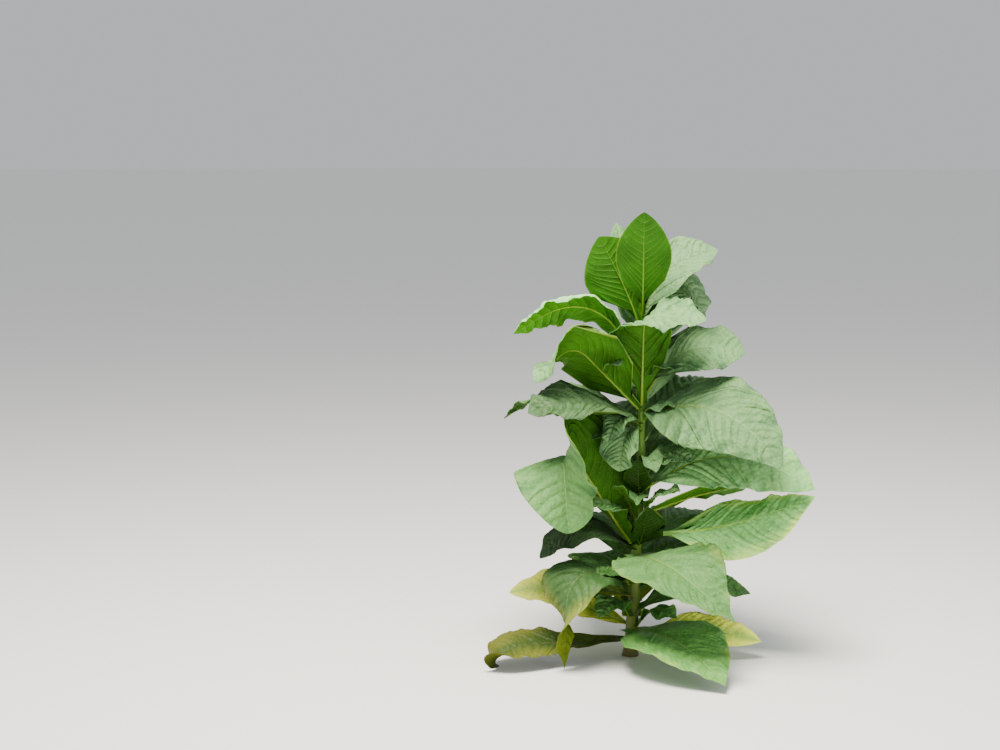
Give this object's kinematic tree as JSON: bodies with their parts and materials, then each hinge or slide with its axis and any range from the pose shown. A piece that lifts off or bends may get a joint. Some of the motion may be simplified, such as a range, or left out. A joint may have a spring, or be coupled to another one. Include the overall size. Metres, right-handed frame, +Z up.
{
  "type": "tobacco plant",
  "caption": "Leafy field tobacco plant before flowering: one tapering stem with large drooping leaves, cut flat at the ground.",
  "frame": {"origin": "centre of the flat cut under the stem, at ground level", "axes": "+Z up along the stem; -Y is the side that faces the camera in the picture; +X is the viewer's right"},
  "size_m": [0.9447, 0.8408, 1.3055],
  "materials": {
    "stem": "matte",
    "young_leaf": "matte",
    "grown_leaf": "matte",
    "ripe_leaf": "matte"
  },
  "bodies": {
    "root": {"stem": "stem", "leaf_01": "ripe_leaf", "leaf_02": "ripe_leaf", "leaf_03": "grown_leaf", "leaf_04": "ripe_leaf", "leaf_05": "ripe_leaf", "leaf_06": "ripe_leaf", "leaf_07": "grown_leaf", "leaf_08": "grown_leaf", "leaf_08_end": "grown_leaf", "leaf_09": "grown_leaf", "leaf_10": "grown_leaf", "leaf_11": "grown_leaf", "leaf_12": "grown_leaf", "leaf_12_end": "grown_leaf", "leaf_13": "grown_leaf", "leaf_14": "grown_leaf", "leaf_15": "grown_leaf", "leaf_16": "grown_leaf", "leaf_17": "grown_leaf", "leaf_18": "grown_leaf", "leaf_19": "grown_leaf", "leaf_20": "grown_leaf", "leaf_21": "grown_leaf", "leaf_22": "grown_leaf", "leaf_23": "grown_leaf", "leaf_24": "grown_leaf", "leaf_25": "grown_leaf", "leaf_25_end": "grown_leaf", "leaf_26": "grown_leaf", "leaf_26_end": "grown_leaf", "leaf_27": "grown_leaf", "leaf_28": "grown_leaf", "leaf_29": "grown_leaf", "leaf_30": "grown_leaf", "leaf_31": "grown_leaf", "leaf_32": "grown_leaf", "leaf_33": "young_leaf", "leaf_34": "young_leaf", "leaf_35": "young_leaf", "leaf_36": "young_leaf", "leaf_37": "young_leaf", "leaf_38": "young_leaf", "leaf_39": "grown_leaf", "leaf_40": "grown_leaf", "leaf_41": "grown_leaf", "leaf_42": "grown_leaf", "leaf_43": "grown_leaf", "leaf_44": "grown_leaf", "leaf_45": "grown_leaf"}
  },
  "joints": []
}
